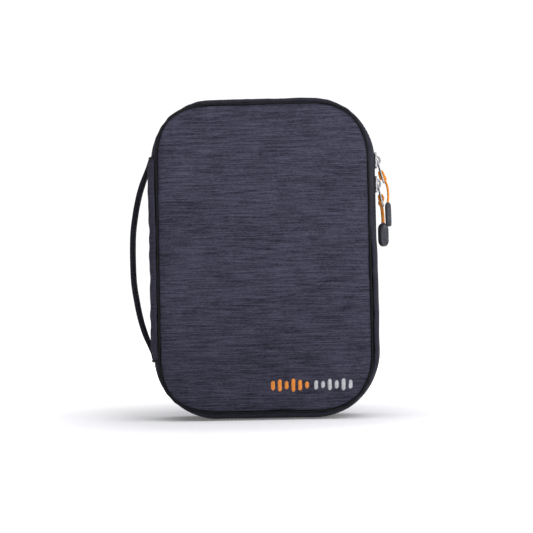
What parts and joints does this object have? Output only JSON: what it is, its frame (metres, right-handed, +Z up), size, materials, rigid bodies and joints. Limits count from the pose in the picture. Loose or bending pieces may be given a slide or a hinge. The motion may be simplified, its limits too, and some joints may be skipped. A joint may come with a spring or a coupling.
{
  "type": "headphone carrying case",
  "caption": "Zipped clamshell carrying case for headphones in dark melange fabric, with a side handle and orange cord zip pulls",
  "frame": {"origin": "middle of the bounding box's bottom face; the case stands upright on the bottom of its gusset", "axes": "+X to the right of the front, +Y from the lid's panel to the back panel, +Z up along the height"},
  "size_m": [0.2079, 0.0568, 0.25],
  "materials": {
    "panel_fabric": "melange weave, matt",
    "trim_fabric": "plain weave, matt",
    "lining_fabric": "brushed lining",
    "mesh_fabric": "elastic mesh",
    "board": "foam board",
    "zip_coil": "nylon coil",
    "nickel": "polished nickel plate",
    "orange_cord": "braided cord",
    "grip_plastic": "soft-touch moulding",
    "orange_thread": "satin stitch",
    "grey_thread": "satin stitch"
  },
  "bodies": {
    "back_shell": {"back_panel": "panel_fabric", "back_spine": "panel_fabric", "back_gusset": "trim_fabric", "back_piping": "trim_fabric", "back_binding": "trim_fabric", "back_zip_tape": "trim_fabric", "back_zip_coil": "zip_coil", "back_board": "board", "back_lining": "lining_fabric", "handle_root_upper": "trim_fabric", "handle_root_lower": "trim_fabric"},
    "lid": {"front_panel": "panel_fabric", "front_spine": "panel_fabric", "front_gusset": "trim_fabric", "front_piping": "trim_fabric", "front_binding": "trim_fabric", "front_zip_tape": "trim_fabric", "front_zip_coil": "zip_coil", "front_board": "board", "front_lining": "lining_fabric", "mesh_pocket": "mesh_fabric", "mesh_pocket_hem": "trim_fabric", "mark_orange": "orange_thread", "mark_grey": "grey_thread"},
    "handle": {"handle_band": "trim_fabric"},
    "upper_slider_body": {"upper_slider": "nickel"},
    "upper_tab_body": {"upper_tab": "nickel"},
    "upper_pull": {"upper_cord": "orange_cord", "upper_grip": "grip_plastic"},
    "lower_slider_body": {"lower_slider": "nickel"},
    "lower_tab_body": {"lower_tab": "nickel"},
    "lower_pull": {"lower_cord": "orange_cord", "lower_grip": "grip_plastic"}
  },
  "joints": [
    {"name": "lid_hinge", "type": "hinge", "parent": "back_shell", "child": "lid", "pos_m": [-0.086, 0, 0.125], "axis": [0, 0, -1], "range_deg": [0, 125]},
    {"name": "handle_swing", "type": "hinge", "parent": "back_shell", "child": "handle", "pos_m": [-0.0875, 0.018, 0.128], "axis": [0, 0, -1], "range_deg": [-35, 35], "stiffness_Nm_per_rad": 0.02},
    {"name": "upper_slider_turn", "type": "hinge", "parent": "back_shell", "child": "upper_slider_body", "pos_m": [0.042, 0, 0.2], "axis": [0, -1, 0], "range_deg": [0, 85]},
    {"name": "upper_tab_swing", "type": "hinge", "parent": "upper_slider_body", "child": "upper_tab_body", "pos_m": [0.0943, 0, 0.1996], "axis": [0, -1, 0], "range_deg": [0, 110]},
    {"name": "upper_pull_swing", "type": "hinge", "parent": "upper_tab_body", "child": "upper_pull", "pos_m": [0.09866, 0, 0.18441], "axis": [0, -1, 0], "range_deg": [-10, 80]},
    {"name": "lower_slider_travel", "type": "slide", "parent": "back_shell", "child": "lower_slider_body", "axis": [0, 0, -1], "range_m": [0, 0.11]},
    {"name": "lower_tab_swing", "type": "hinge", "parent": "lower_slider_body", "child": "lower_tab_body", "pos_m": [0.0943, 0, 0.1811], "axis": [0, -1, 0], "range_deg": [0, 20]},
    {"name": "lower_pull_swing", "type": "hinge", "parent": "lower_tab_body", "child": "lower_pull", "pos_m": [0.09704, 0, 0.16554], "axis": [0, -1, 0], "range_deg": [0, 80]}
  ]
}
